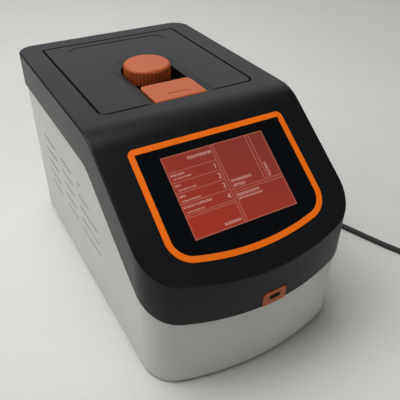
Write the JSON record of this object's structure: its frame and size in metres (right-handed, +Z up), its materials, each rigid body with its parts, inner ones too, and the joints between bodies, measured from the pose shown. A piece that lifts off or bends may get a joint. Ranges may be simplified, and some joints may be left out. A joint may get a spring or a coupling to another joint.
{
  "type": "thermal cycler",
  "caption": "Bench thermal cycler with a raked touch panel, a hinged lid with a pressure knob and a release latch, a heated plate over a well block, and a mains lead.",
  "frame": {"origin": "middle of the footprint, on the bench", "axes": "+X to the user's right, +Y to the back, +Z up"},
  "size_m": [0.5027, 0.6061, 0.2445],
  "materials": {
    "casing_dark": "fine moulded texture, satin",
    "casing_grey": "fine moulded texture, satin",
    "accent_orange": "satin moulding",
    "ring_orange": "smooth bright ring",
    "panel_glass": "dark touch glass",
    "display": "display module housing",
    "inner_plastic": "black moulding",
    "steel": "plated sheet and bar",
    "aluminium": "machined and extruded",
    "brass": "turned and plated",
    "rubber": "moulded elastomer",
    "ceramic_white": "ceramic faces and foam",
    "board_green": "circuit board",
    "fuse_glass": "clear tube"
  },
  "bodies": {
    "base": {"upper_casing": "casing_dark", "lower_casing": "casing_grey", "casing_screws": "steel", "base_plate": "steel", "rubber_feet": "rubber", "foot_screws": "steel", "chamber_tub": "inner_plastic", "latch_striker": "steel", "sample_block": "aluminium", "block_seal": "rubber", "peltier_modules": "ceramic_white", "heat_sink": "aluminium", "heat_sink_posts": "steel", "air_duct": "steel", "fan_frame": "inner_plastic", "fan_screws": "steel", "finger_guard": "steel", "rear_panel": "steel", "panel_screws": "steel", "mains_inlet": "inner_plastic", "inlet_pins": "brass", "switch_housing": "inner_plastic", "power_supply": "steel", "board_standoffs": "brass", "main_board": "board_green", "bezel_ring": "ring_orange", "panel_glass": "panel_glass", "display_module": "display", "display_bracket": "steel", "usb_surround": "accent_orange", "usb_board": "board_green", "usb_socket": "steel", "hinge_brackets": "steel", "hinge_pins": "steel", "mains_connector": "rubber", "mains_cord": "rubber", "cord_coil": "rubber", "mains_plug": "rubber", "plug_pins": "brass"},
    "lid": {"lid_cover": "casing_dark", "lid_tray": "steel", "lid_screws": "steel", "guide_posts": "steel", "lid_hinge_arms": "aluminium", "screw_bush": "brass", "latch_pin": "steel", "latch_spring": "steel"},
    "knob": {"pressure_knob": "accent_orange", "lead_screw": "steel"},
    "plate_stack": {"heated_plate": "aluminium", "heater_mat": "rubber", "insulation_pad": "ceramic_white", "pressure_frame": "aluminium"},
    "latch": {"release_latch": "accent_orange"},
    "rocker": {"switch_rocker": "inner_plastic"},
    "rotor": {"fan_rotor": "inner_plastic"},
    "drawer": {"fuse_drawer": "inner_plastic", "fuses": "fuse_glass"}
  },
  "joints": [
    {"name": "lid_hinge", "type": "hinge", "parent": "base", "child": "lid", "pos_m": [0, 0.166, 0.226], "axis": [-1, 0, 0], "range_deg": [0, 80]},
    {"name": "knob_turn", "type": "hinge", "parent": "lid", "child": "knob", "pos_m": [0, 0.0638, 0.23], "axis": [0, 0, -1], "range_deg": [0, 540]},
    {"name": "plate_travel", "type": "slide", "parent": "lid", "child": "plate_stack", "axis": [0, 0, -1], "range_m": [0, 0.006]},
    {"name": "latch_lift", "type": "hinge", "parent": "lid", "child": "latch", "pos_m": [0, -0.0185, 0.2315], "axis": [1, 0, 0], "range_deg": [0, 30], "stiffness_Nm_per_rad": 0.05, "springref_deg": -17.19},
    {"name": "switch_rock", "type": "hinge", "parent": "base", "child": "rocker", "pos_m": [0.07, 0.1977, 0.104], "axis": [-1, 0, 0], "range_deg": [0, 14]},
    {"name": "fan_spin", "type": "hinge", "parent": "base", "child": "rotor", "pos_m": [0, 0.185, 0.1214], "axis": [0, 1, 0], "continuous": true},
    {"name": "fuse_slide", "type": "slide", "parent": "base", "child": "drawer", "axis": [0, 1, 0], "range_m": [0, 0.022]}
  ],
  "couplings": [
    {"joint": "knob_turn", "follows": "plate_travel", "rad_per_m": 1570.8}
  ]
}
